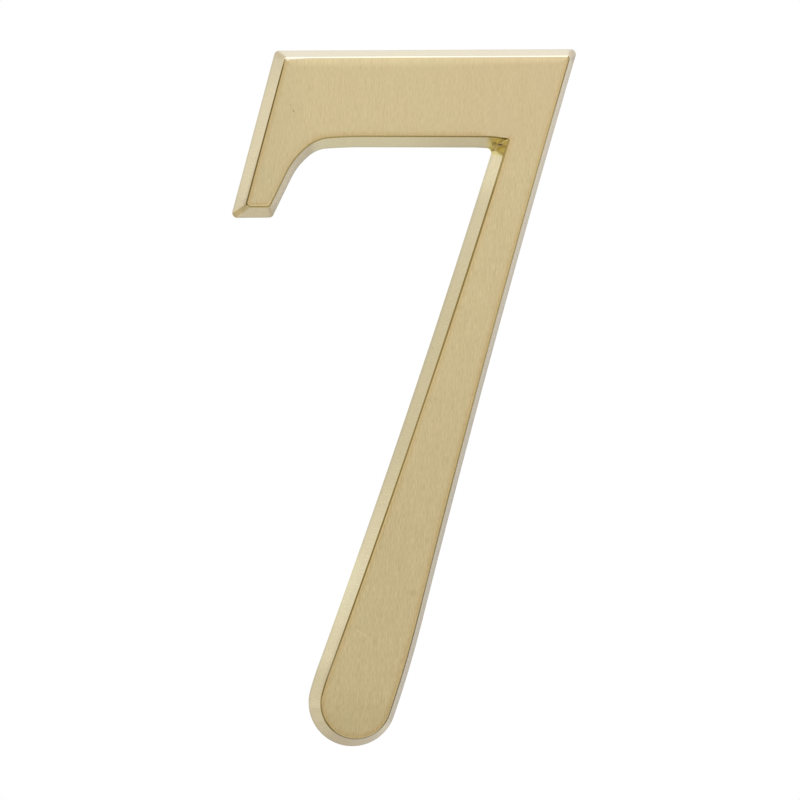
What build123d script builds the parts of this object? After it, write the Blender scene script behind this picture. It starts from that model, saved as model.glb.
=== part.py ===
from math import cos, radians, sin, sqrt, tan
import os

from build123d import *

# House number: a solid brass figure 7 with a flat brushed face and drafted sides, on two hidden studs.
# Millimetres. X runs right and Z up as the number is read, the back lies on the wall in the plane Y = 0,
# and the face looks towards -Y. The origin is on the wall, midway between the two studs.

# The figure as a whole
HEIGHT = 120.65             # from the top edge to the lowest point of the round end, 4 3/4 in
THICKNESS = 6.35            # from the wall to the face, 1/4 in
DRAFT_INSET = 1.55          # how far the sides lean in between the wall and the face
FACE_EDGE_RADIUS = 0.35     # polished rounding where the sides meet the face

# The bar across the top and its serif
BAR_LEFT = -12.15           # top left corner
BAR_DEPTH = 16.85           # top edge to underside, measured straight above the round end
UNDERSIDE_FALL = 0.5        # degrees by which the underside drops towards the leg
SERIF_DROP = 28.95          # top edge to the foot of the serif
SERIF_SLOPE = 74.4          # degrees, outer edge of the serif
THROAT_START = 2.75         # where the underside starts to curve down into the serif
THROAT_EASE_RADIUS = 80.0   # first, slow bend of that curve
THROAT_EASE_TURN = 4.4      # degrees
THROAT_RADIUS = 5.3         # tight middle of that curve
THROAT_TURN = 34.0          # degrees
SERIF_EASE_RADIUS = 12.0    # last, slower bend before the straight inner edge
SERIF_EASE_TURN = 25.4      # degrees

# The leg and its round end, whose centre stands straight below the origin
END_RADIUS = 7.65
LEFT_HEADING = 69.2         # degrees, left edge of the leg just above the round end
LEFT_EASE_RADIUS = 54.0     # between the round end and the hollow left edge
LEFT_EASE_TURN = 4.6        # degrees
LEFT_HOLLOW_RADIUS = 1960.0
RIGHT_HEADING = 75.2        # degrees, right edge of the leg just above the round end
RIGHT_EASE_RADIUS = 200.0   # between the round end and the hollow right edge
RIGHT_EASE_TURN = 5.0       # degrees
RIGHT_HOLLOW_RADIUS = 2515.0

# Roundings of the corners, at the wall and at the face
CORNER_RADIUS = 0.9
FACE_TOP_CORNER_RADIUS = 0.5
FACE_FOOT_CORNER_RADIUS = 0.8
INSIDE_CORNER_RADIUS = 0.75
FACE_INSIDE_CORNER_RADIUS = 0.15

# Hidden fixing: two studs, thread 8-32, screwed into blind tapped holes in the back
STUD_SPACING = 101.6        # 4 in, one stud straight above the other
STUD_BELOW_TOP = 8.4        # upper stud below the top edge
STUD_RADIUS = 2.083
STUD_LENGTH = 25.4
STUD_CHAMFER = 0.5
THREAD_DEPTH = 4.0          # length of stud inside the number
THREAD_RUNOUT = 0.3         # tapped length left over beyond the stud's end
DRILL_POINT_ANGLE = 118.0   # degrees, cone at the bottom of each hole

TOP = STUD_SPACING / 2 + STUD_BELOW_TOP
FOOT = TOP - SERIF_DROP
END_CENTRE = Vector(0, TOP - HEIGHT + END_RADIUS)
STUD_HEIGHTS = (STUD_SPACING / 2, -STUD_SPACING / 2)


def heading(angle):
    """Unit vector at an angle in degrees from the X direction."""
    return Vector(cos(radians(angle)), sin(radians(angle)))


def at_height(point, angle, height):
    """The point at a height on the line through point at an angle."""
    return point + heading(angle) * ((height - point.Y) / sin(radians(angle)))


def crossing(centre, radius, point, angle, side):
    """Where a circle crosses the line through point at an angle: side 1 is further along it, -1 nearer."""
    along = heading(angle)
    reach = (centre - point).dot(along)
    away = centre - point - along * reach
    return point + along * (reach + side * sqrt(radius**2 - away.length**2))


def leg_edge(side, inset, edge_heading, ease_radius, ease_turn, hollow_radius, stop_point, stop_angle):
    """One edge of the leg upwards from the round end: an ease arc, then a hollow arc up to a straight line.

    side is 1 for the right edge and -1 for the left. Inset moves both arcs into the metal.
    """
    start_heading = edge_heading - side * ease_turn
    start = END_CENTRE + heading(start_heading - side * 90) * (END_RADIUS - inset)
    ease = JernArc(start, heading(start_heading), ease_radius - inset, side * ease_turn)
    hollow = hollow_radius + inset
    hollow_centre = ease @ 1 + heading(edge_heading - side * 90) * hollow
    stop = crossing(hollow_centre, hollow, stop_point, stop_angle, -side)
    return ease, RadiusArc(ease @ 1, stop, side * hollow)


def outline(inset, top_radius, foot_radius, inside_radius):
    """The figure's outline, drawn flat with X right and Y up, moved into the metal by inset.

    The radii round the two top corners, the two of the serif's foot and the inside corner. Every call draws
    the same edges in the same order, so that the wall line and the face line match.
    """
    top = TOP - inset
    into_bar = heading(90 - UNDERSIDE_FALL) * inset
    underside_point = Vector(0, TOP - BAR_DEPTH) + into_bar
    right_ease, right_hollow = leg_edge(1, inset, RIGHT_HEADING, RIGHT_EASE_RADIUS, RIGHT_EASE_TURN,
                                        RIGHT_HOLLOW_RADIUS, Vector(0, top), 0)
    left_ease, left_hollow = leg_edge(-1, inset, LEFT_HEADING, LEFT_EASE_RADIUS, LEFT_EASE_TURN,
                                      LEFT_HOLLOW_RADIUS, underside_point, -UNDERSIDE_FALL)
    round_end = ThreePointArc(left_ease @ 0, END_CENTRE - Vector(0, END_RADIUS - inset), right_ease @ 0)

    throat_start = underside_point + heading(-UNDERSIDE_FALL) * THROAT_START
    throat_ease = JernArc(throat_start, heading(180 - UNDERSIDE_FALL), THROAT_EASE_RADIUS + inset,
                          THROAT_EASE_TURN)
    throat = JernArc(throat_ease @ 1, throat_ease % 1, THROAT_RADIUS + inset, THROAT_TURN)
    serif_ease = JernArc(throat @ 1, throat % 1, SERIF_EASE_RADIUS + inset, SERIF_EASE_TURN)
    inner_slope = THROAT_EASE_TURN + THROAT_TURN + SERIF_EASE_TURN - UNDERSIDE_FALL
    foot_right = at_height(serif_ease @ 1, inner_slope, FOOT + inset)
    serif_point = Vector(BAR_LEFT, TOP) + heading(SERIF_SLOPE - 90) * inset
    foot_left = at_height(serif_point, SERIF_SLOPE, FOOT + inset)
    top_left = at_height(serif_point, SERIF_SLOPE, top)

    straights = Polyline(serif_ease @ 1, foot_right, foot_left, top_left, right_hollow @ 1)
    underside = Line(left_hollow @ 1, throat_start)
    curves = [round_end, right_ease, right_hollow, left_ease, left_hollow, throat_ease, throat, serif_ease]
    face = make_face(curves + [straights, underside])
    for corners, radius in (([foot_right, foot_left], foot_radius), ([top_left, right_hollow @ 1], top_radius),
                            ([left_hollow @ 1], inside_radius)):
        face = fillet([face.vertices().sort_by_distance(corner)[0] for corner in corners], radius)
    return face


def blank():
    """The solid figure before its holes: ruled sides from the wall line to the face line."""
    wall_line = outline(0, CORNER_RADIUS, CORNER_RADIUS, INSIDE_CORNER_RADIUS)
    face_line = outline(DRAFT_INSET, FACE_TOP_CORNER_RADIUS, FACE_FOOT_CORNER_RADIUS,
                        FACE_INSIDE_CORNER_RADIUS)
    body = loft([Plane.XZ * wall_line, Plane.XZ.offset(THICKNESS) * face_line], ruled=True)
    front = body.faces().sort_by(Axis.Y)[0]
    return fillet(front.outer_wire().edges(), FACE_EDGE_RADIUS)


def turned(*profile):
    """A body turned about the Y axis, from points given as radius and depth into the number.

    Without the clean-up, a point in the middle of a straight side still parts it into two faces.
    """
    return Rot(90, 0, 0) * revolve(Plane.XZ * make_face(Polyline(*profile, close=True)), Axis.Z, clean=False)


def stud_hole():
    """A blind tapped hole from the wall plane, cut at the thread's outer radius, with a drill point."""
    depth = THREAD_DEPTH + THREAD_RUNOUT
    point = STUD_RADIUS / tan(radians(DRILL_POINT_ANGLE / 2))
    return turned((0, 0), (STUD_RADIUS, 0), (STUD_RADIUS, depth), (0, depth + point))


def stud():
    """One stud as a plain rod at the thread's outer radius, with chamfered ends.

    Its side is two faces that meet at the wall plane, the free stretch first.
    """
    free_end = THREAD_DEPTH - STUD_LENGTH
    tip = STUD_RADIUS - STUD_CHAMFER
    return turned((0, free_end), (tip, free_end), (STUD_RADIUS, free_end + STUD_CHAMFER), (STUD_RADIUS, 0),
                  (STUD_RADIUS, THREAD_DEPTH - STUD_CHAMFER), (tip, THREAD_DEPTH), (0, THREAD_DEPTH))


def number_seven():
    body = blank()
    for height in STUD_HEIGHTS:
        body -= Pos(0, 0, height) * stud_hole()
    return body


def mounting_studs():
    return Compound([Pos(0, 0, height) * stud() for height in STUD_HEIGHTS])


os.makedirs("parts", exist_ok=True)
export_step(number_seven(), "parts/number_seven.step")
export_step(mounting_studs(), "parts/mounting_studs.step")
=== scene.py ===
from types import SimpleNamespace

import bpy
import numpy as np
from mathutils import Matrix, Vector
from mathutils.geometry import tessellate_polygon


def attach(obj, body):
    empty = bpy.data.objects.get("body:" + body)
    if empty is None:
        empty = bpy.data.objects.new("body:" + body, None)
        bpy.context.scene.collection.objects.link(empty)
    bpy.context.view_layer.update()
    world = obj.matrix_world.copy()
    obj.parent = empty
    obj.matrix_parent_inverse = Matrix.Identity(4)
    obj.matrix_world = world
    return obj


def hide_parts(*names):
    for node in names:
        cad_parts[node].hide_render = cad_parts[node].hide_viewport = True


# House number, figure seven, in satin brass. Blender works in metres, and the sizes below are in millimetres,
# the same as the part's own. X runs right and Z up as the number is read, the wall is the plane Y = 0, and
# the face looks towards -Y.
MM = 0.001

# The figure, as in the part
HEIGHT = 120.65
THICKNESS = 6.35
DRAFT_INSET = 1.55
FACE_EDGE_RADIUS = 0.35
BAR_LEFT = -12.15
BAR_DEPTH = 16.85
UNDERSIDE_FALL = 0.5
SERIF_DROP = 28.95
SERIF_SLOPE = 74.4
THROAT_START = 2.75
THROAT_EASE_RADIUS, THROAT_EASE_TURN = 80.0, 4.4
THROAT_RADIUS, THROAT_TURN = 5.3, 34.0
SERIF_EASE_RADIUS, SERIF_EASE_TURN = 12.0, 25.4
END_RADIUS = 7.65
LEFT_HEADING, LEFT_EASE_RADIUS, LEFT_EASE_TURN, LEFT_HOLLOW_RADIUS = 69.2, 54.0, 4.6, 1960.0
RIGHT_HEADING, RIGHT_EASE_RADIUS, RIGHT_EASE_TURN, RIGHT_HOLLOW_RADIUS = 75.2, 200.0, 5.0, 2515.0
CORNER_RADIUS, FACE_TOP_CORNER_RADIUS, FACE_FOOT_CORNER_RADIUS = 0.9, 0.5, 0.8
INSIDE_CORNER_RADIUS, FACE_INSIDE_CORNER_RADIUS = 0.75, 0.15
TOP = 59.2
FOOT = TOP - SERIF_DROP
END_CENTRE = np.array([0.0, TOP - HEIGHT + END_RADIUS])

# Steps along each stretch of the outline, and over the two rounded edges
END_STEPS, LEG_EASE_STEPS, LEG_STEPS, CORNER_STEPS = 72, 12, 48, 14
THROAT_EASE_STEPS, THROAT_STEPS, SERIF_EASE_STEPS = 10, 18, 18
TOP_STEPS, SERIF_STEPS, FOOT_STEPS, INNER_SERIF_STEPS, UNDERSIDE_STEPS = 48, 32, 12, 8, 36
BACK_EDGE_STEPS, FACE_EDGE_STEPS = 4, 10
SIDE_SHARES = (0.02, 0.1, 0.3, 0.5, 0.7, 0.9, 0.98)

# Finer than the part: how the brushing rolls the face off towards its edges, and the broken back edge
CROWN_DROP = 0.03
CROWN_WIDTH = 1.6
CROWN_RINGS = (0.04, 0.14, 0.3, 0.5, 0.75, 1.05, 1.35, 1.6)
SMALLEST_RADIUS = 0.03
BACK_EDGE_RADIUS = 0.04

# The inside corner, filed down along the leg: how far at the face and at the wall, the leg's heading there,
# and how much further left and lower the corner lies at the wall. Then where the filing starts and is full,
# coming from the left and from the right by X, and from above and from below by Z
FACE_DIP, WALL_DIP, DIP_HEADING = 0.4, 0.18, 72.0
CORNER_LEAN = (2.06, 1.55)
DIP_LEFT, DIP_RIGHT, DIP_ABOVE, DIP_BELOW = (24.2, 28.4), (29.6, 27.8), (45.6, 43.9), (39.0, 42.5)

# Studs, thread 8-32
STUD_HEIGHTS = (50.8, -50.8)
STUD_RADIUS = 2.083
STUD_ROOT_RADIUS = 1.62
STUD_PITCH = 25.4 / 32
STUD_INNER_END, STUD_FREE_END = -4.0, 21.4
STUD_CHAMFER = 0.5
THREAD_FLAT = 0.15
PITCH_STEPS, TURN_STEPS = 12, 48
HOLE_DEPTH = 4.3
HOLE_POINT = 1.25
HOLE_STEPS = 56

# Camera, fitted to the photo's outline: it stands left of the figure and looks at it through a long lens. Its
# place and aim are in metres, as are the sizes of the floor
CAMERA_PLACE = (-0.112753, -1.13408, -0.009981)
CAMERA_AIM = (0.0089, 0.0, -0.00155)
CAMERA_ROLL = -0.659
CAMERA_LENS = 295.89
FLOOR_HEIGHT, FLOOR_RADIUS, FLOOR_STEPS = -0.2, 1.6, 96


def unit(angle):
    """Unit vectors (x, z) at angles in degrees from X."""
    a = np.radians(angle)
    return np.stack([np.cos(a), np.sin(a)], axis=-1)


def bend(start, heading, radius, turn, steps):
    """An arc as rows of x, z and heading.

    Its centre stands one radius to the side that it turns to, and the point goes round that centre while the
    heading grows evenly by the turn, in degrees, positive to the left.
    """
    headings = heading + np.linspace(0, turn, steps + 1)
    centre = start + np.sign(turn) * radius * unit(heading + 90)
    return np.column_stack([centre - np.sign(turn) * radius * unit(headings + 90), headings])


def run(start, end, steps):
    """A straight run as rows of x, z and heading: the start plus even shares of the way to the end."""
    way = end - start
    heading = np.degrees(np.arctan2(way[1], way[0]))
    return np.column_stack([start + way * np.linspace(0, 1, steps + 1)[:, None], np.full(steps + 1, heading)])


def reach(radius, turn):
    """How far before its tip a rounded corner starts: the radius times the tangent of half the turn."""
    return radius * np.tan(np.radians(abs(turn)) / 2)


def corner(tip, heading, turn, radius):
    """A rounded corner: the arc that touches both lines through the tip."""
    return bend(tip - reach(radius, turn) * unit(heading), heading, radius, turn, CORNER_STEPS)


def backwards(track):
    """The same track walked the other way."""
    back = track[::-1].copy()
    back[:, 2] += 180
    return back


def at_height(point, angle, height):
    """The point at a height on the line through a point at an angle."""
    return point + unit(angle) * (height - point[1]) / np.sin(np.radians(angle))


def leg_edge(side, inset, heading, ease_radius, ease_turn, hollow_radius, line_point, line_angle):
    """One edge of the leg upwards from the round end, and where it meets the line that ends it.

    An ease arc, then a hollow arc. The meeting point is where the hollow arc's circle crosses the line.
    """
    start_heading = heading - side * ease_turn
    start = END_CENTRE + unit(start_heading - side * 90) * (END_RADIUS - inset)
    ease = bend(start, start_heading, ease_radius - inset, side * ease_turn, LEG_EASE_STEPS)
    radius = hollow_radius + inset
    centre = ease[-1, :2] + unit(heading - side * 90) * radius
    along = unit(line_angle)
    middle = (centre - line_point) @ along
    away = centre - line_point - along * middle
    tip = line_point + along * (middle - side * np.sqrt(radius**2 - away @ away))
    full = np.degrees(2 * np.arcsin(np.linalg.norm(tip - ease[-1, :2]) / 2 / radius))
    return ease, radius, tip, full


def outline(inset, top_radius, foot_radius, inside_radius):
    """The figure's outline moved into the metal by an inset, as rows of x, z and heading, anticlockwise.

    It is a chain of arcs and straight runs that touch each other, always with the same number of points, so
    that any two outlines can be joined row to row. Also gives how far each point is into a corner: up to 1 in
    the outer ones, down to -1 in the inside one.
    """
    top = TOP - inset
    underside_point = np.array([0, TOP - BAR_DEPTH]) + inset * unit(90 - UNDERSIDE_FALL)

    right_ease, right_radius, top_right, right_turn = leg_edge(
        1, inset, RIGHT_HEADING, RIGHT_EASE_RADIUS, RIGHT_EASE_TURN, RIGHT_HOLLOW_RADIUS,
        np.array([0, top]), 0)
    left_ease, left_radius, inside_tip, left_turn = leg_edge(
        -1, inset, LEFT_HEADING, LEFT_EASE_RADIUS, LEFT_EASE_TURN, LEFT_HOLLOW_RADIUS,
        underside_point, -UNDERSIDE_FALL)
    round_end = bend(left_ease[0, :2], left_ease[0, 2] + 180, END_RADIUS - inset,
                     180 + right_ease[0, 2] - left_ease[0, 2], END_STEPS)

    right_top_heading = RIGHT_HEADING - right_turn
    trim = reach(top_radius, 180 - right_top_heading)
    right_hollow = bend(right_ease[-1, :2], RIGHT_HEADING, right_radius,
                        -(right_turn - np.degrees(trim / right_radius)), LEG_STEPS)
    top_right_corner = corner(top_right, right_top_heading, 180 - right_top_heading, top_radius)

    throat_start = underside_point + unit(-UNDERSIDE_FALL) * THROAT_START
    throat_ease = bend(throat_start, 180 - UNDERSIDE_FALL, THROAT_EASE_RADIUS + inset, THROAT_EASE_TURN,
                       THROAT_EASE_STEPS)
    throat = bend(throat_ease[-1, :2], throat_ease[-1, 2], THROAT_RADIUS + inset, THROAT_TURN, THROAT_STEPS)
    serif_ease = bend(throat[-1, :2], throat[-1, 2], SERIF_EASE_RADIUS + inset, SERIF_EASE_TURN,
                      SERIF_EASE_STEPS)
    inner_slope = serif_ease[-1, 2] - 180

    serif_point = np.array([BAR_LEFT, TOP]) + inset * unit(SERIF_SLOPE - 90)
    top_left = at_height(serif_point, SERIF_SLOPE, top)
    foot_left = at_height(serif_point, SERIF_SLOPE, FOOT + inset)
    foot_right = at_height(serif_ease[-1, :2], inner_slope, FOOT + inset)
    top_left_corner = corner(top_left, 180, SERIF_SLOPE, top_radius)
    foot_left_corner = corner(foot_left, 180 + SERIF_SLOPE, 180 - SERIF_SLOPE, foot_radius)
    foot_right_corner = corner(foot_right, 0, inner_slope, foot_radius)

    left_top_heading = LEFT_HEADING + left_turn
    inside_turn = -(180 - UNDERSIDE_FALL - left_top_heading)
    trim = reach(inside_radius, inside_turn)
    left_hollow = bend(left_ease[-1, :2], LEFT_HEADING, left_radius,
                       left_turn - np.degrees(trim / left_radius), LEG_STEPS)
    inside_corner = corner(inside_tip, -UNDERSIDE_FALL, inside_turn, inside_radius)

    bumps = {id(c): 1 for c in (top_right_corner, top_left_corner, foot_left_corner, foot_right_corner)}
    bumps[id(inside_corner)] = -1
    tracks = [
        round_end, right_ease, right_hollow,
        top_right_corner, run(top_right_corner[-1, :2], top_left_corner[0, :2], TOP_STEPS),
        top_left_corner, run(top_left_corner[-1, :2], foot_left_corner[0, :2], SERIF_STEPS),
        foot_left_corner, run(foot_left_corner[-1, :2], foot_right_corner[0, :2], FOOT_STEPS),
        foot_right_corner, run(foot_right_corner[-1, :2], serif_ease[-1, :2], INNER_SERIF_STEPS),
        backwards(serif_ease), backwards(throat), backwards(throat_ease),
        run(throat_start, inside_corner[0, :2], UNDERSIDE_STEPS),
        inside_corner, backwards(left_hollow), backwards(left_ease),
    ]
    cornered = [np.sin(np.linspace(0, np.pi, len(t))) * bumps.get(id(t), 0) for t in tracks]
    return np.concatenate([t[:-1] for t in tracks]), np.concatenate([c[:-1] for c in cornered])


def lift(points, y):
    """Flat points (x, z) set at a depth y."""
    return np.stack([points[:, 0], np.broadcast_to(y, len(points)), points[:, 1]], axis=1)


def rounding(tip, to_start, to_end, radius, steps):
    """Rows that round off a corner between two lines leaving it along the unit vectors to_start and to_end.

    With w the angle between the lines, the centre is radius / sin(w / 2) from the tip on the bisector. The
    point swings round it through 180 degrees less w, from the first line's touching point to the second's.
    """
    half = np.arccos(np.clip((to_start * to_end).sum(1), -1, 1))[:, None] / 2
    bisector = to_start + to_end
    bisector /= np.linalg.norm(bisector, axis=1, keepdims=True)
    centre = tip + bisector * radius / np.sin(half)
    first = (tip + to_start * radius / np.tan(half) - centre) / radius
    last = (tip + to_end * radius / np.tan(half) - centre) / radius
    sideways = last - first * (first * last).sum(1, keepdims=True)
    sideways /= np.linalg.norm(sideways, axis=1, keepdims=True)
    angle = np.linspace(0, 1, steps + 1)[:, None, None] * (np.pi - 2 * half)
    return centre + radius * (np.cos(angle) * first + np.sin(angle) * sideways)


def smooth_share(values, low, high):
    """0 up to low, 1 from high on, and 3 t^2 - 2 t^3 in between. With low above high it falls."""
    t = np.clip((values - low) / (high - low), 0, 1)
    return t * t * (3 - 2 * t)


def dip_corner(rows):
    """Moves the points near the inside corner down along the leg's edge.

    The shift goes evenly from the wall's dip to the face's. It is multiplied by smooth shares of X and Z that
    are 1 in the corner, which itself leans to the left and down towards the wall.
    """
    back = 1 + rows[..., 1] / THICKNESS
    x = rows[..., 0] + CORNER_LEAN[0] * back
    z = rows[..., 2] + CORNER_LEAN[1] * back
    shift = FACE_DIP + (WALL_DIP - FACE_DIP) * back
    for places, fade in ((x, DIP_LEFT), (x, DIP_RIGHT), (z, DIP_ABOVE), (z, DIP_BELOW)):
        shift = shift * smooth_share(places, *fade)
    way = -unit(DIP_HEADING)
    return rows + shift[..., None] * np.array([way[0], 0, way[1]])


def figure_rows():
    """The figure's skin as rows of points that run round it, from the back over the edge to the face.

    Each row is one outline: the rounded back edge, straight rules from the wall line to the face line, the
    rounding where they meet the face, and rings on the face that sink by the square of their nearness to the
    edge. Gives the rows, each point's distance across the edge from the rounding's middle (negative on the
    side), the distance round the figure, the corner shares, the way that each point's side looks (x, z) and
    the number of the face's first row.
    """
    wall, cornered = outline(0, CORNER_RADIUS, CORNER_RADIUS, INSIDE_CORNER_RADIUS)
    face, _ = outline(DRAFT_INSET, FACE_TOP_CORNER_RADIUS, FACE_FOOT_CORNER_RADIUS, FACE_INSIDE_CORNER_RADIUS)
    inward = lift(unit(wall[:, 2] + 90), 0)
    wall_line = lift(wall[:, :2], 0)
    face_line = lift(face[:, :2], -THICKNESS + CROWN_DROP)
    rule = face_line - wall_line
    rule /= np.linalg.norm(rule, axis=1, keepdims=True)

    back_edge = rounding(wall_line, inward, rule, BACK_EDGE_RADIUS, BACK_EDGE_STEPS)
    face_edge = rounding(face_line, -rule, inward, FACE_EDGE_RADIUS, FACE_EDGE_STEPS)
    side = back_edge[-1] + (face_edge[0] - back_edge[-1]) * np.array(SIDE_SHARES)[:, None, None]
    draft = np.degrees(np.arctan(DRAFT_INSET / THICKNESS))
    rounding_width = reach(FACE_EDGE_RADIUS, 90 - draft)
    rings = []
    for depth in CROWN_RINGS:
        grown = rounding_width + depth
        ring, _ = outline(DRAFT_INSET + grown, max(FACE_TOP_CORNER_RADIUS - grown, SMALLEST_RADIUS),
                          max(FACE_FOOT_CORNER_RADIUS - grown, SMALLEST_RADIUS),
                          FACE_INSIDE_CORNER_RADIUS + grown)
        rings.append(lift(ring[:, :2], -THICKNESS + CROWN_DROP * (1 - depth / CROWN_WIDTH) ** 2))
    rows = np.concatenate([back_edge, side, face_edge, rings])

    steps = np.linalg.norm(np.diff(rows, axis=0), axis=2)
    across = np.concatenate([np.zeros((1, len(wall))), np.cumsum(steps, axis=0)])
    edge_start = len(back_edge) + len(side)
    across = across - across[edge_start + FACE_EDGE_STEPS // 2]
    round_way = np.linalg.norm(np.diff(face[:, :2], axis=0, append=face[:1, :2]), axis=1)
    along = np.concatenate([[0], np.cumsum(round_way)])
    outward = -inward[:, [0, 2]]
    return dip_corner(rows), across, along, cornered, outward, edge_start + FACE_EDGE_STEPS


def fill(rings, facing):
    """Triangles between flat closed rings, the first outermost, turned so that they look towards facing."""
    points = np.concatenate(rings)
    triangles = np.array(tessellate_polygon([[Vector(p) for p in ring] for ring in rings]))
    a, b, c = (points[triangles[:, k]] for k in range(3))
    wrong = (np.cross(b - a, c - a) @ facing) < 0
    triangles[wrong] = triangles[wrong][:, ::-1]
    return triangles


def grid_faces(rows, columns, first=0):
    """Four-sided faces between rows of a grid that closes round, numbered row by row."""
    here = first + np.arange((rows - 1) * columns).reshape(rows - 1, columns)
    beside = np.roll(here, -1, axis=1)
    return np.stack([here, beside, beside + columns, here + columns], axis=-1).reshape(-1, 4)


def circle(height, radius, y):
    """A ring round a stud's axis: the angle goes evenly round, the radius is kept."""
    a = np.linspace(0, 2 * np.pi, HOLE_STEPS, endpoint=False)
    return np.stack([radius * np.cos(a), np.full(HOLE_STEPS, y), height + radius * np.sin(a)], axis=1)


def new_piece(name, vertices, faces):
    """A mesh object at the origin from vertices in millimetres, smooth but for edges over 40 degrees."""
    mesh = bpy.data.meshes.new(name)
    mesh.from_pydata((vertices * MM).tolist(), [], faces)
    mesh.update()
    piece = bpy.data.objects.new(name, mesh)
    bpy.context.scene.collection.objects.link(piece)
    mesh.shade_smooth()
    mesh.set_sharp_from_angle(angle=np.radians(40))
    return piece


def point_values(mesh, name, values):
    """Keeps one number a vertex under a name that materials can read."""
    mesh.attributes.new(name, "FLOAT", "POINT").data.foreach_set("value", values.astype(np.float32))


def stud_holes(first):
    """Both holes for the studs, numbered from first: the two mouths, then a floor ring and a tip for each.

    Each wall joins a mouth straight to a floor ring of the same radius, and a cone joins that to the tip.
    """
    points = [circle(height, STUD_RADIUS, 0) for height in STUD_HEIGHTS]
    walls, cones = [], []
    start = first + len(STUD_HEIGHTS) * HOLE_STEPS
    for number, height in enumerate(STUD_HEIGHTS):
        mouth = first + number * HOLE_STEPS + np.arange(HOLE_STEPS)
        floor = start + np.arange(HOLE_STEPS)
        tip = np.full(HOLE_STEPS, start + HOLE_STEPS)
        points.append(circle(height, STUD_RADIUS, -HOLE_DEPTH))
        points.append(np.array([[0, -HOLE_DEPTH - HOLE_POINT, height]]))
        walls.append(np.stack([mouth, floor, np.roll(floor, -1), np.roll(mouth, -1)], axis=1))
        cones.append(np.stack([floor, tip, np.roll(floor, -1)], axis=1))
        start += HOLE_STEPS + 1
    return points, walls, cones


def add_grain(mesh, skin, across, along, face_start):
    """One UV map, in millimetres: X and Z, but on the sides the way round and the way across."""
    places = np.empty(len(mesh.vertices) * 3)
    mesh.vertices.foreach_get("co", places)
    corners = np.empty(len(mesh.loops), int)
    mesh.loops.foreach_get("vertex_index", corners)
    grain = (places.reshape(-1, 3) / MM)[corners][:, [0, 2]]

    count = across.shape[1]
    column = skin % count
    closes_round = skin[:, :1] % count == count - 1
    column = np.where((column == 0) & closes_round, count, column)
    side_grain = np.stack([along[column], across.ravel()[skin]], axis=-1).reshape(-1, 2)
    side_corners = 4 * face_start * count
    grain[:side_corners] = side_grain[:side_corners]
    mesh.uv_layers.new(name="grain").data.foreach_set("uv", grain.astype(np.float32).ravel())


def make_figure():
    """The figure as one closed mesh: skin, face, back with two holes, and the holes' walls and cones."""
    rows, across, along, cornered, outward, face_start = figure_rows()
    count = rows.shape[1]
    total = len(rows) * count
    skin = grid_faces(len(rows), count)
    face_fill = fill([rows[-1]], np.array([0, -1, 0])) + total - count
    hole_points, walls, cones = stud_holes(total)
    mouths = hole_points[:len(STUD_HEIGHTS)]
    back_fill = fill([rows[0]] + mouths, np.array([0, 1, 0]))
    back_fill = np.where(back_fill < count, back_fill, back_fill - count + total)

    quads = np.concatenate([skin] + walls)
    triangles = np.concatenate([face_fill, back_fill] + cones)
    piece = new_piece("figure", np.concatenate([rows.reshape(-1, 3)] + hole_points),
                      quads.tolist() + triangles.tolist())
    mesh = piece.data
    in_holes = np.zeros(len(mesh.vertices) - total)
    point_values(mesh, "across", np.concatenate([across.ravel(), in_holes]))
    for name, values in (("ridge", cornered), ("looks_right", outward[:, 0]), ("looks_up", outward[:, 1])):
        point_values(mesh, name, np.concatenate([np.tile(values, len(rows)), in_holes]))
    add_grain(mesh, skin, across, along, face_start)

    for material in (satin_brass(), sanded_back()):
        mesh.materials.append(material)
    back = np.zeros(len(mesh.polygons), int)
    back[len(skin):len(quads)] = 1
    back[len(quads) + len(face_fill):] = 1
    mesh.polygons.foreach_set("material_index", back)
    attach(piece, "root")
    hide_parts("number_seven")
    return piece


def thread_rows(height):
    """One stud's skin as rings along its axis.

    The radius at a place is the thread's: a smooth wave in the distance along the axis less the pitch times
    the share of a turn, flat at crest and root, and held inside the cone of each end.
    """
    count = int(round((STUD_FREE_END - STUD_INNER_END) / STUD_PITCH * PITCH_STEPS))
    y = np.linspace(STUD_INNER_END, STUD_FREE_END, count + 1)[:, None]
    angle = np.linspace(0, 2 * np.pi, TURN_STEPS, endpoint=False)[None, :]
    phase = (y / STUD_PITCH - angle / (2 * np.pi)) % 1
    wave = smooth_share(np.abs(phase - 0.5) * 2, THREAD_FLAT, 1 - THREAD_FLAT)
    radius = STUD_ROOT_RADIUS + (STUD_RADIUS - STUD_ROOT_RADIUS) * wave
    cone = STUD_RADIUS - STUD_CHAMFER + np.minimum(y - STUD_INNER_END, STUD_FREE_END - y)
    radius = np.minimum(radius, cone)
    return np.stack([radius * np.cos(angle), y + 0 * angle, height + radius * np.sin(angle)], axis=-1)


def make_studs():
    """Both studs as one piece, each a threaded rod closed by a flat fan at both ends."""
    vertices, quads, triangles, start = [], [], [], 0
    for height in STUD_HEIGHTS:
        rows = thread_rows(height)
        count = rows.shape[1]
        size = rows.shape[0] * count
        inner, outer = start + size, start + size + 1
        quads.append(grid_faces(rows.shape[0], count, start)[:, ::-1])
        first = start + np.arange(count)
        last = first + size - count
        triangles += [np.stack([first, np.roll(first, -1), np.full(count, inner)], axis=1),
                      np.stack([np.roll(last, -1), last, np.full(count, outer)], axis=1)]
        vertices += [rows.reshape(-1, 3), np.array([[0, STUD_INNER_END, height], [0, STUD_FREE_END, height]])]
        start += size + 2
    piece = new_piece("studs", np.concatenate(vertices),
                      np.concatenate(quads).tolist() + np.concatenate(triangles).tolist())
    piece.data.materials.append(stud_steel())
    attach(piece, "root")
    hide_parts("mounting_studs")
    return piece


# Materials

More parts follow.
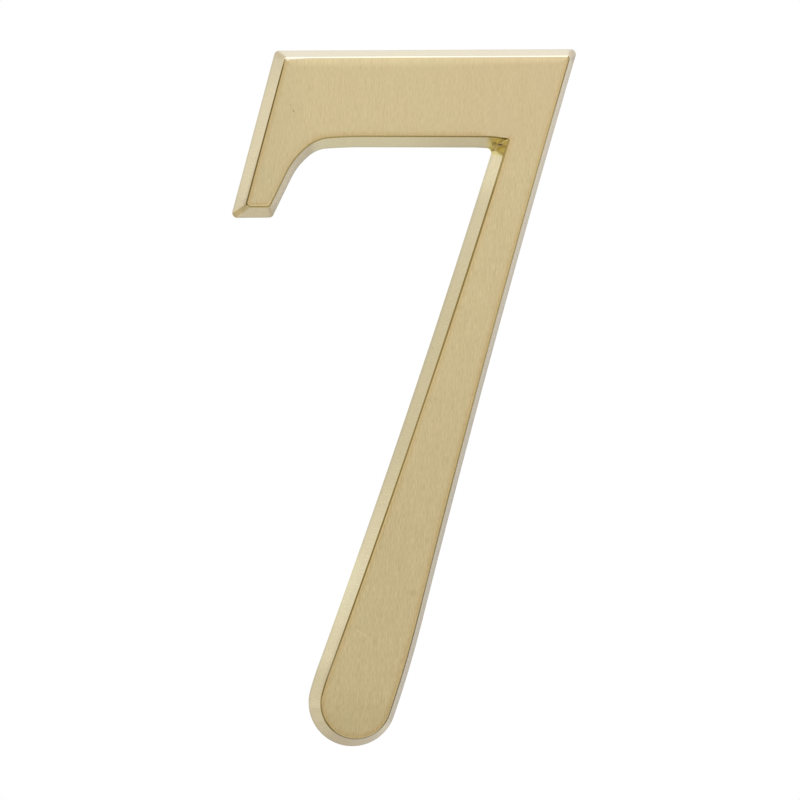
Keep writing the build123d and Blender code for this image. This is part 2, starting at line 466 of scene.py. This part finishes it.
BRASS = (0.668, 0.551, 0.313)
BRASS_SIDE = (0.655, 0.55, 0.305)
# The line along the face's rounded edge: painted shade in brown, a warmer tint under it, and a painted
# highlight along the top
PAINTED_EDGE_SHADE = (0.168, 0.106, 0.016)
PAINTED_EDGE_HIGHLIGHT = (0.97, 0.91, 0.75)
PAINTED_SHADE_WARMTH = (0.98, 0.94, 0.72)

SIDE_ROUGHNESS, FACE_ROUGHNESS = 0.22, 0.33

# The brushing: how wide and long a mark is and how far it leans, on the face and on the sanded back. Then how
# much the marks and the wide bands on the face change its colour, and what red, green and blue take of that:
# blue the most, so that light marks are paler too
FACE_BRUSHING = (0.125, 4.6, -0.09)
BACK_SANDING = (0.35, 6.0, 0.6)
MARK_DEPTH, BAND_DEPTH = 0.53, 0.05
MARK_WEIGHTS = (1.0, 1.1, 1.45)

# The painted golden reflection round the inside corner, where the sides face each other: X and Z, and how far
# from there it ends and is full
GOLDEN_PLACE = (27.2, 43.2)
GOLDEN_EDGE = (3.4, 2.2)

# Marks on the face and on the sides, some of them painted highlights, shade and reflections: X and Z, half
# sizes, lean in degrees, and what each does to the colour.
# Each ends at 1.3 of its half sizes and is full within 0.6 of them
MARK_EDGE = (1.3, 0.6)
FACE_MARKS_AND_HIGHLIGHT = (
    (-9.65, 48.42, 0.11, 0.24, -8, (0.62, 0.55, 0.45)),
    (-10.18, 49.47, 0.13, 0.22, 0, (0.84, 0.82, 0.76)),
    (1.1, -41.7, 1.5, 0.09, 31, (1.14, 1.13, 1.16)),
    # A painted highlight on the top left corner
    (-10.62, 57.25, 0.26, 0.3, 0, (1.35, 1.45, 1.8)),
    (10.0, -34.9, 1.1, 0.5, 0, (0.95, 0.94, 0.91)),
)
SIDE_MARKS_AND_PAINTED_LIGHT = (
    # In the inside corner: painted highlights and painted shade where the sides face each other, and two
    # strips of painted golden reflection
    (26.47, 42.47, 0.34, 0.17, 0, (0.3, 0.26, 0.36)),
    (26.35, 42.2, 0.8, 0.5, 0, (0.78, 0.73, 0.68)),
    (25.1, 41.6, 0.55, 0.45, 0, (1.25, 1.35, 1.65)),
    (26.75, 41.45, 0.45, 0.45, 0, (1.16, 1.2, 1.3)),
    (25.5, 42.75, 0.4, 0.16, 0, (0.66, 0.62, 0.6)),
    (25.62, 41.66, 0.3, 0.18, 20, (0.55, 0.5, 0.5)),
    (25.95, 42.95, 0.12, 0.3, 0, (1.3, 1.35, 1.6)),
    (27.45, 43.1, 0.25, 0.25, 0, (1.3, 1.35, 1.6)),
    (24.75, 42.85, 0.42, 1.6, -25, (0.92, 0.88, 0.58)),
    (26.12, 40.98, 1.6, 0.38, 31, (0.89, 0.87, 0.62)),
    # Round the foot of the serif
    (-19.2, 30.9, 0.8, 0.8, 0, (1.18, 1.14, 1.16)),
    (-17.9, 32.8, 0.5, 0.7, 0, (0.86, 0.85, 0.8)),
    (-12.6, 31.7, 0.7, 1.0, 20, (0.84, 0.83, 0.7)),
    # On the top right corner and the top left one
    (39.55, 57.95, 1.0, 1.15, 0, (0.71, 0.64, 0.56)),
    (-11.6, 58.3, 0.6, 0.9, 0, (0.9, 0.87, 0.84)),
    # On the left of the leg
    (14.45, 7.4, 0.13, 0.22, 0, (0.78, 0.78, 0.75)),
    (5.4, -17.55, 0.13, 0.2, 0, (0.8, 0.78, 0.78)),
)


def add(tree, kind, inputs=None, **settings):
    """A node with its settings, and each input given a value or linked from a socket."""
    node = tree.nodes.new(kind)
    for name, value in settings.items():
        setattr(node, name, value)
    for name, value in (inputs or {}).items():
        if isinstance(value, bpy.types.NodeSocket):
            tree.links.new(value, node.inputs[name])
        else:
            node.inputs[name].default_value = value
    return node


def tree_of(*values):
    """The node tree of the first socket among some sockets and plain values."""
    return next(value for value in values if isinstance(value, bpy.types.NodeSocket)).id_data


def maths(operation, *values):
    return add(tree_of(*values), "ShaderNodeMath", dict(enumerate(values)), operation=operation).outputs[0]


def shared(*shares):
    """The product of several shares."""
    result = shares[0]
    for share in shares[1:]:
        result = maths("MULTIPLY", result, share)
    return result


def either(*shares):
    """The largest of several shares."""
    result = shares[0]
    for share in shares[1:]:
        result = maths("MAXIMUM", result, share)
    return result


def swing(value, amount, middle=0.0):
    """A value that wanders round 0.5, made to wander round a middle by an amount."""
    return maths("MULTIPLY_ADD", maths("SUBTRACT", value, 0.5), amount, middle)


def blend(share, low, high):
    """From low to high by a share from 0 to 1, for numbers."""
    tree = tree_of(share, low, high)
    return add(tree, "ShaderNodeMapRange", {"Value": share, "To Min": low, "To Max": high}).outputs[0]


def between(value, low, high):
    """0 below low, 1 above high, smooth in between. With low above high it falls."""
    return add(value.id_data, "ShaderNodeMapRange", {"Value": value, "From Min": low, "From Max": high},
               interpolation_type="SMOOTHSTEP").outputs[0]


def tint(share, low, high, mode="MIX"):
    """Mixes two colours by a share, or with another mode works the high one into the low one."""
    tree = tree_of(share, low, high)
    node = add(tree, "ShaderNodeMix", {"Factor": share}, data_type="RGBA", blend_type=mode)
    for socket, value in ((node.inputs[6], low), (node.inputs[7], high)):
        if isinstance(value, bpy.types.NodeSocket):
            tree.links.new(value, socket)
        else:
            socket.default_value = (*value, 1)
    return node.outputs[2]


def repaint(colour, tones, where):
    """Multiplies the colour by each tone, a pair of a share and a factor, inside the stretch where."""
    for share, factor in tones:
        colour = tint(shared(share, where), colour, factor, "MULTIPLY")
    return colour


def cloud(place, scale, detail):
    """Soft noise round 0.5."""
    tree = place.id_data
    return add(tree, "ShaderNodeTexNoise", {"Vector": place, "Scale": scale, "Detail": detail}).outputs[0]


def new_material(name):
    material = bpy.data.materials.new(name)
    material.use_nodes = True
    tree = material.node_tree
    return material, tree, tree.nodes["Principled BSDF"]


def streaks(across, along, scale, detail):
    """Flat noise near 0.5, read at the two distances given."""
    place = add(across.id_data, "ShaderNodeCombineXYZ", {0: across, 1: along}).outputs[0]
    return add(across.id_data, "ShaderNodeTexNoise",
               {"Vector": place, "Scale": scale, "Detail": detail, "Roughness": 0.5},
               noise_dimensions="2D").outputs[0]


def brushed_group():
    """Brushing: marks of two lengths drawn out along V, and wide bands, each as a value near 0.5."""
    group = bpy.data.node_groups.new("brush marks", "ShaderNodeTree")
    face = group.interface
    face.new_socket("Vector", in_out="INPUT", socket_type="NodeSocketVector")
    for name in ("Width", "Length", "Lean"):
        face.new_socket(name, in_out="INPUT", socket_type="NodeSocketFloat")
    for name in ("Marks", "Bands"):
        face.new_socket(name, in_out="OUTPUT", socket_type="NodeSocketFloat")
    inputs = group.nodes.new("NodeGroupInput").outputs
    place = add(group, "ShaderNodeSeparateXYZ", {0: inputs["Vector"]}).outputs
    leaned = maths("MULTIPLY_ADD", place[1], inputs["Lean"], place[0])
    across = maths("DIVIDE", leaned, inputs["Width"])
    along = maths("DIVIDE", place[1], inputs["Length"])
    long_marks = streaks(across, along, 1.0, 2.0)
    short_marks = streaks(maths("ADD", across, 53.7), maths("MULTIPLY", along, 4.0), 1.0, 1.0)
    outputs = group.nodes.new("NodeGroupOutput").inputs
    group.links.new(blend(0.55, long_marks, short_marks), outputs["Marks"])
    group.links.new(streaks(across, along, 0.11, 2.0), outputs["Bands"])
    return group


def brush_marks(vector, brushing):
    """Fine marks and wide bands for a brushing: the width, length and lean of its marks."""
    node = add(vector.id_data, "ShaderNodeGroup", node_tree=BRUSHED)
    vector.id_data.links.new(vector, node.inputs["Vector"])
    for name, value in zip(("Width", "Length", "Lean"), brushing):
        node.inputs[name].default_value = value
    return node.outputs["Marks"], node.outputs["Bands"]


def read_surface(tree):
    """Where a point of the figure lies, in millimetres, and which way its side looks."""
    metres = add(tree, "ShaderNodeTexCoord").outputs["Object"]
    place = add(tree, "ShaderNodeVectorMath", {0: metres, "Scale": 1 / MM}, operation="SCALE").outputs[0]
    x, _, z = add(tree, "ShaderNodeSeparateXYZ", {0: place}).outputs
    at = SimpleNamespace(place=place, x=x, z=z)
    at.grain = add(tree, "ShaderNodeUVMap", uv_map="grain").outputs[0]
    for name in ("across", "ridge", "looks_right", "looks_up"):
        setattr(at, name, add(tree, "ShaderNodeAttribute", attribute_name=name).outputs["Fac"])
    return at


def name_stretches(at):
    """Adds the share, 0 to 1, of each stretch with a look of its own, and the distance from the line.

    The line lies a little further in or out on some stretches, so its distance is the one across the edge
    plus a shift there.
    """
    at.on_face = between(at.across, 0.1, 0.2)
    at.on_side = between(at.across, -0.1, -0.3)
    at.top = between(at.looks_up, 0.75, 0.97)
    at.left = between(at.looks_right, -0.85, -0.93)
    at.right = between(at.looks_right, 0.91, 0.96)
    at.underside = shared(between(at.looks_up, -0.85, -0.97), between(at.z, 37, 40))
    at.inner_end = shared(at.underside, between(at.x, 25.2, 27))
    at.throat = shared(between(at.looks_right, 0.3, 0.8), between(at.looks_up, -0.2, -0.4),
                       between(at.z, 25, 30))
    at.serif = shared(at.left, between(at.x, -8, -11))
    at.foot = shared(between(at.looks_up, -0.3, -0.6), between(at.z, 34, 33), between(at.z, 20, 25))
    at.leg = shared(at.left, between(at.x, -6, 0))
    at.high_leg = shared(at.leg, between(at.z, -8, 16))
    at.bright_leg = shared(at.leg, between(at.z, -26, -31), between(at.z, -44, -39))
    at.low_right = shared(between(at.looks_right, 0.2, 0.6), between(at.z, -20, -40))
    at.low_turn = shared(between(at.looks_up, -0.1, -0.6), between(at.z, -50, -57))
    at.low_end = shared(between(at.looks_up, -0.55, -0.97), between(at.z, -50, -57))

    at.from_line = at.across
    for share, shift in ((at.low_end, 0.14), (at.foot, -0.14), (at.leg, -0.06), (at.low_right, 0.07)):
        at.from_line = maths("MULTIPLY_ADD", share, shift, at.from_line)


def distance_seen(at, x, z, half_width=1.0, half_height=1.0, lean=0.0):
    """How far a point is from a place, seen from the front, in half sizes of an ellipse that may lean."""
    any_depth = 1000
    moved = add(at.place.id_data, "ShaderNodeMapping",
                {"Vector": at.place, "Location": (x, 0, z), "Rotation": (0, np.radians(lean), 0),
                 "Scale": (half_width, any_depth, half_height)}, vector_type="TEXTURE").outputs[0]
    return add(at.place.id_data, "ShaderNodeVectorMath", {0: moved}, operation="LENGTH").outputs["Value"]


def soft_marks(at, marks):
    """Each mark, or spot of painted highlight or shade, as a tone: 1 inside its ellipse, 0 well outside."""
    return [(between(distance_seen(at, *ellipse), *MARK_EDGE), factor) for *ellipse, factor in marks]


def brushed_shade(at, fine, bands):
    """The brushing as a factor near 1 for each of red, green and blue, plainer on the bar than on the leg."""
    tone = swing(bands, BAND_DEPTH, swing(fine, MARK_DEPTH))
    on_leg = blend(between(at.z, 0, -30), 1.03, 1.1)
    on_bar = blend(between(at.x, 0, 15), 0.85, 0.75)
    tone = maths("MULTIPLY", tone, blend(between(at.z, 40, 45), on_leg, on_bar))
    channels = {k: maths("MULTIPLY_ADD", tone, weight, 1.0) for k, weight in enumerate(MARK_WEIGHTS)}
    return add(tone.id_data, "ShaderNodeCombineColor", channels).outputs[0]


def face_tones(at):
    """The face: deeper towards the serif, with painted shade towards the round end and along the edge, and a
    painted highlight along the top edge.

    On the leg's left, at the foot and by the inside corner a painted highlight runs along the line.
    """
    top_highlight = shared(at.top, between(at.across, 2.2, 0.3))
    by_corner = shared(at.underside, between(at.x, 22, 25))
    edge_shade = shared(between(at.across, 1.2, 0.2), between(at.top, 0.6, 0.0), between(by_corner, 1.0, 0.0),
                  blend(at.throat, 1.0, 0.45))
    glint_start = blend(at.foot, blend(at.high_leg, 0.1, 0.2), 0.06)
    painted_glint = shared(between(at.from_line, glint_start, maths("ADD", glint_start, 0.08)),
                   between(at.from_line, blend(at.foot, 0.4, 0.3), blend(at.foot, 0.26, 0.18)),
                   either(at.leg, at.foot, at.inner_end))
    return [
        (between(at.x, -4, -18), (0.925, 0.925, 0.92)),
        (between(at.z, -20, -38), (1.015, 1.022, 1.022)),
        # Painted shade towards the round end
        (between(at.z, -49, -58), (0.93, 0.925, 0.91)),
        (shared(between(at.x, 16, 22), between(at.z, 38, 44)), (1.003, 0.98, 0.986)),
        # Painted highlight along the top edge, painted shade along the other edges, and painted highlights
        # along the line
        (top_highlight, (1.15, 1.16, 1.19)),
        (edge_shade, (0.94, 0.87, 0.77)),
        (painted_glint, (1.12, 1.14, 1.14)),
        (shared(painted_glint, at.foot), (1.12, 1.18, 1.25)),
    ] + soft_marks(at, FACE_MARKS_AND_HIGHLIGHT)


def left_tones(at):
    """The left of the serif, of the leg and of the round end, each from top to bottom: painted reflection and
    shade, lighter or deeper stretch by stretch, and deeper beside the line.
    """
    left_low = shared(at.left, between(at.z, -45.5, -49.5), between(at.z, -54.8, -53.2))
    beside_line = between(at.across, -2.4, -0.4)
    return [
        (shared(at.serif, between(at.z, 50, 59)), (0.9, 0.89, 0.87)),
        (shared(at.serif, between(at.z, 44, 37), between(at.across, -1.9, -0.3)), (0.8, 0.77, 0.68)),
        (shared(at.serif, between(at.z, 37, 32)), (0.92, 0.91, 0.91)),
        (shared(at.leg, between(at.z, 32, 37), between(at.z, 41.5, 40.3)), (1.13, 1.15, 1.16)),
        (shared(at.leg, between(at.z, -27, -9), between(at.z, 40, 30)), (0.9, 0.9, 0.85)),
        (shared(at.leg, between(at.z, -27, -9), between(at.z, 28, 12)), (0.92, 0.9, 0.84)),
        (at.bright_leg, (1.025, 1.055, 1.11)),
        (shared(at.bright_leg, between(at.across, -1.5, -4.5)), (1.055, 1.07, 1.06)),
        (shared(at.left, between(at.z, -37, -43), between(at.z, -53.5, -50), beside_line), (0.88, 0.86, 0.8)),
        (left_low, (0.87, 0.86, 0.81)),
        (shared(at.left, between(at.z, -53.6, -55)), (1.1, 1.1, 1.12)),
    ]


def side_tones(at):
    """The sides: painted reflection and shade, each way a side faces with a tone of its own, a painted
    highlight strip on the right, painted shade under the round end and in the inside corner, a painted golden
    reflection round it, and the outer corners deeper.
    """
    right_highlight = shared(between(at.looks_right, 0.5, 0.85), between(at.across, -4.5, -2.5),
                          between(at.across, -0.6, -1.4))
    golden = between(distance_seen(at, *GOLDEN_PLACE), *GOLDEN_EDGE)
    by_wall = shared(between(at.across, -5.2, -5.9), blend(at.bright_leg, 1.0, 0.2))
    return [
        (at.top, (1.01, 1.02, 1.12)),
        (at.right, (1.0, 1.0, 1.12)),
        (right_highlight, (1.13, 1.13, 1.11)),
        (at.foot, (0.99, 0.98, 0.93)),
        (at.throat, (1.0, 0.985, 0.93)),
        (at.underside, (1.1, 1.14, 1.12)),
        (shared(at.underside, between(at.x, 8, 20)), (0.87, 0.82, 0.74)),
        (at.low_end, (0.745, 0.67, 0.56)),
        (golden, (1.15, 1.15, 0.83)),
        # Painted shade in the inside corner, where the sides reflect each other; the outer corners deeper
        (between(at.ridge, -0.05, -0.7), (0.8, 0.74, 0.48)),
        (between(at.ridge, 0.1, 0.9), (0.84, 0.8, 0.67)),
        (by_wall, (0.88, 0.91, 0.98)),
    ] + left_tones(at) + soft_marks(at, SIDE_MARKS_AND_PAINTED_LIGHT)


def line_band(at):
    """1 on the line round the face, 0 beside it. The line is painted shade along the face's rounded edge,
    with a painted highlight on top.

    It runs from a start on the side, negative millimetres, over where it is full to its end on the face. All
    three differ from side to side.
    """
    narrow = either(at.foot, shared(either(at.underside, at.right), blend(at.low_right, 0.7, 0.2)))
    wide = either(at.low_turn, shared(at.low_right, 0.5))
    low_serif = shared(at.serif, between(at.z, 62, 42))
    start = blend(narrow, blend(low_serif, -0.34, -0.46), -0.19)
    start = blend(wide, blend(at.inner_end, start, -0.75), -0.5)
    full = blend(narrow, blend(low_serif, -0.12, -0.22), -0.08)
    full = blend(wide, blend(at.inner_end, full, -0.4), -0.28)
    end = blend(shared(at.top, between(at.x, -6, -10.5)), 0.2, 0.42)
    end = blend(at.foot, blend(at.high_leg, end, 0.24), 0.13)
    thinning = maths("SUBTRACT", end, 0.16)
    return shared(between(at.from_line, start, full), between(at.from_line, end, thinning))


def line_strength(at, painted_highlight):
    """How strong the painted line is: full on top where it is a painted highlight, in the inside corner and
    low down, and faded in two places.
    """
    middling = either(blend(at.foot, shared(at.underside, between(at.x, 0, 25)), 0.5),
                      shared(at.right, between(at.z, 10, -30)),
                      between(at.z, -46, -52), between(at.z, 44, 54))
    on_leg = blend(between(at.z, -8, -30), 0.8, 0.9)
    left_of_end = shared(at.left, between(at.z, -57, -51))
    strength = either(blend(middling, 0.43, 0.72), blend(at.leg, left_of_end, on_leg), at.inner_end,
                      at.low_right, blend(at.low_turn, 0.0, 0.9))
    faded = either(shared(at.serif, between(at.z, 55.6, 57.2)), shared(at.leg, between(at.z, 34, 38)))
    return either(blend(faded, strength, 0.55), painted_highlight)


def satin_brass():
    """Brushed face, satin sides and the rounded edge between them, with a painted line along it: a painted
    highlight on top and painted shade, brown, elsewhere.
    """
    material, tree, shader = new_material("satin brass")
    at = read_surface(tree)
    name_stretches(at)
    fine, bands = brush_marks(at.grain, FACE_BRUSHING)
    patches = tint(between(cloud(at.place, 0.2, 1.0), 0.3, 0.7), (0.994, 1.002, 0.996), (1.006, 0.998, 1.004))
    colour = tint(at.on_face, BRASS_SIDE, BRASS)
    colour = tint(1.0, colour, brushed_shade(at, fine, bands), "MULTIPLY")
    colour = tint(1.0, colour, patches, "MULTIPLY")
    # Painted highlights, shade and reflections on the face and the sides, among real specks, a scratch and a
    # stain
    colour = repaint(colour, face_tones(at), at.on_face)
    colour = repaint(colour, side_tones(at), at.on_side)

    # The painted line: a painted highlight along the top edge, and painted shade, warmer and brown, elsewhere
    painted_highlight = either(at.top, shared(between(at.looks_up, 0.3, 0.5), between(at.x, 0, -8)))
    line = line_band(at)
    colour = tint(shared(line, blend(painted_highlight, 1.0, 0.0)), colour, PAINTED_SHADE_WARMTH, "MULTIPLY")
    painted_line_colour = tint(painted_highlight, PAINTED_EDGE_SHADE, PAINTED_EDGE_HIGHLIGHT)
    colour = tint(shared(line, line_strength(at, painted_highlight)), colour, painted_line_colour)
    tree.links.new(colour, shader.inputs["Base Color"])

    roughness = swing(fine, 0.2, blend(at.on_face, SIDE_ROUGHNESS, FACE_ROUGHNESS))
    tree.links.new(roughness, shader.inputs["Roughness"])
    bump = add(tree, "ShaderNodeBump", {"Height": fine, "Strength": 0.25, "Distance": 0.00001})
    tree.links.new(bump.outputs[0], shader.inputs["Normal"])
    shader.inputs["Metallic"].default_value = 1.0
    shader.inputs["Coat Weight"].default_value = 0.1
    shader.inputs["Coat Roughness"].default_value = 0.12
    return material


def sanded_back():
    """The back: bare brass, sanded flat in short straight strokes."""
    material, tree, shader = new_material("sanded back")
    grain = add(tree, "ShaderNodeUVMap", uv_map="grain").outputs[0]
    fine, bands = brush_marks(grain, BACK_SANDING)
    tone = swing(bands, 0.25, swing(fine, 0.5, 0.85))
    shade = add(tree, "ShaderNodeCombineColor", {0: tone, 1: tone, 2: tone}).outputs[0]
    tree.links.new(tint(1.0, BRASS, shade, "MULTIPLY"), shader.inputs["Base Color"])
    tree.links.new(blend(fine, 0.34, 0.5), shader.inputs["Roughness"])
    bump = add(tree, "ShaderNodeBump", {"Height": fine, "Strength": 0.5, "Distance": 0.00003})
    tree.links.new(bump.outputs[0], shader.inputs["Normal"])
    shader.inputs["Metallic"].default_value = 1.0
    return material


def stud_steel():
    """Zinc-plated thread: grey, a little uneven."""
    material, tree, shader = new_material("stud steel")
    uneven = cloud(add(tree, "ShaderNodeTexCoord").outputs["Object"], 900.0, 4.0)
    tree.links.new(tint(uneven, (0.46, 0.47, 0.48), (0.64, 0.65, 0.66)), shader.inputs["Base Color"])
    tree.links.new(blend(uneven, 0.22, 0.42), shader.inputs["Roughness"])
    shader.inputs["Metallic"].default_value = 1.0
    return material


def pale_floor():
    """Matt off-white, very slightly uneven."""
    material, tree, shader = new_material("pale floor")
    uneven = cloud(add(tree, "ShaderNodeTexCoord").outputs["Object"], 3.0, 2.0)
    tree.links.new(tint(uneven, (0.71, 0.7, 0.67), (0.74, 0.73, 0.7)), shader.inputs["Base Color"])
    shader.inputs["Roughness"].default_value = 0.9
    return material


def card_paint(name, low_colour, high_colour):
    """Matt paint of a studio card: one colour 0.08 m below the number's middle, another 0.06 m above."""
    material, tree, shader = new_material(name)
    place = add(tree, "ShaderNodeTexCoord").outputs["Object"]
    height = add(tree, "ShaderNodeSeparateXYZ", {0: place}).outputs[2]
    tree.links.new(tint(between(height, -0.08, 0.06), low_colour, high_colour), shader.inputs["Base Color"])
    shader.inputs["Roughness"].default_value = 1.0
    return material


# Stage, in metres


def make_floor():
    """A pale round floor well below the number."""
    a = np.linspace(0, 2 * np.pi, FLOOR_STEPS, endpoint=False)
    ring = np.stack([FLOOR_RADIUS * np.cos(a), FLOOR_RADIUS * np.sin(a), FLOOR_HEIGHT + 0 * a], axis=1)
    mesh = bpy.data.meshes.new("floor")
    mesh.from_pydata(ring.tolist(), [], [list(range(FLOOR_STEPS))])
    floor = bpy.data.objects.new("floor", mesh)
    bpy.context.scene.collection.objects.link(floor)
    mesh.materials.append(pale_floor())


def make_card(name, centre, facing, width, height, low_colour, high_colour):
    """An upright matt card that only reflections see: a rectangle square to the way it faces."""
    ahead = np.array([*facing, 0.0]) / np.hypot(*facing)
    sideways = np.array([-ahead[1], ahead[0], 0.0]) * width / 2
    up = np.array([0, 0, height / 2])
    middle = np.array(centre)
    points = [middle - sideways - up, middle + sideways - up, middle + sideways + up, middle - sideways + up]
    mesh = bpy.data.meshes.new(name)
    mesh.from_pydata([p.tolist() for p in points], [], [[0, 1, 2, 3]])
    card = bpy.data.objects.new(name, mesh)
    bpy.context.scene.collection.objects.link(card)
    mesh.materials.append(card_paint(name, low_colour, high_colour))
    card.visible_camera = card.visible_diffuse = card.visible_shadow = False


def make_world():
    """Even white light from all round, which is also the white background."""
    world = bpy.data.worlds.new("white studio")
    world.use_nodes = True
    world.node_tree.nodes["Background"].inputs["Color"].default_value = (1, 1, 1, 1)
    world.node_tree.nodes["Background"].inputs["Strength"].default_value = 1.0
    bpy.context.scene.world = world


def make_lamp(name, place, aim, width, height, watts):
    """A soft rectangular lamp that the camera doesn't see."""
    light = bpy.data.lights.new(name, "AREA")
    light.shape, light.size, light.size_y, light.energy = "RECTANGLE", width, height, watts
    lamp = bpy.data.objects.new(name, light)
    lamp.location = place
    lamp.rotation_euler = (Vector(aim) - Vector(place)).to_track_quat("-Z", "Y").to_euler()
    lamp.visible_camera = False
    bpy.context.scene.collection.objects.link(lamp)


def make_camera():
    """The camera at the photo's viewing angle: it looks from its place to its aim, rolled a little."""
    place = Vector(CAMERA_PLACE)
    ahead = (Vector(CAMERA_AIM) - place).normalized()
    right = ahead.cross(Vector((0, 0, 1))).normalized()
    up = right.cross(ahead)
    turn = Matrix.Rotation(np.radians(CAMERA_ROLL), 3, -ahead)
    right, up = turn @ right, turn @ up
    axes = Matrix((right, up, -ahead)).transposed().to_4x4()
    data = bpy.data.cameras.new("camera")
    data.lens, data.sensor_width, data.sensor_fit = CAMERA_LENS, 36.0, "HORIZONTAL"
    data.clip_start = 0.01
    camera = bpy.data.objects.new("camera", data)
    camera.matrix_world = Matrix.Translation(place) @ axes
    bpy.context.scene.collection.objects.link(camera)
    bpy.context.scene.camera = camera


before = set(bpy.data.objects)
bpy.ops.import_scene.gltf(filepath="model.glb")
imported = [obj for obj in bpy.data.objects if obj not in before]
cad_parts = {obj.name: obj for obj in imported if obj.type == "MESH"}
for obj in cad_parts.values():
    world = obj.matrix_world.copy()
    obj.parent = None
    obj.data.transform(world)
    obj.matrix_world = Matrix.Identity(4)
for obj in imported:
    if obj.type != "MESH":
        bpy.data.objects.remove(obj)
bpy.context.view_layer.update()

BRUSHED = brushed_group()
make_figure()
make_studs()
make_floor()
make_world()
make_card("right card", (0.235, 0.447, -0.04), (-0.4, -1), 0.17, 0.24, (0.66, 0.65, 0.66), (0.8, 0.79, 0.8))
make_card("low card", (0.1, -0.5, -0.1), (0, 1), 1.2, 0.2, (0.8, 0.78, 0.74), (0.8, 0.78, 0.74))
make_lamp("overhead softbox", (0.05, -0.1, 0.75), (0.01, 0, 0), 0.6, 0.6, 0.5)
make_lamp("back glow", (0.1, 0.9, 0.42), (0.01, 0, 0.06), 1.0, 0.4, 0.12)
make_camera()
bpy.context.scene.view_settings.view_transform = "Standard"
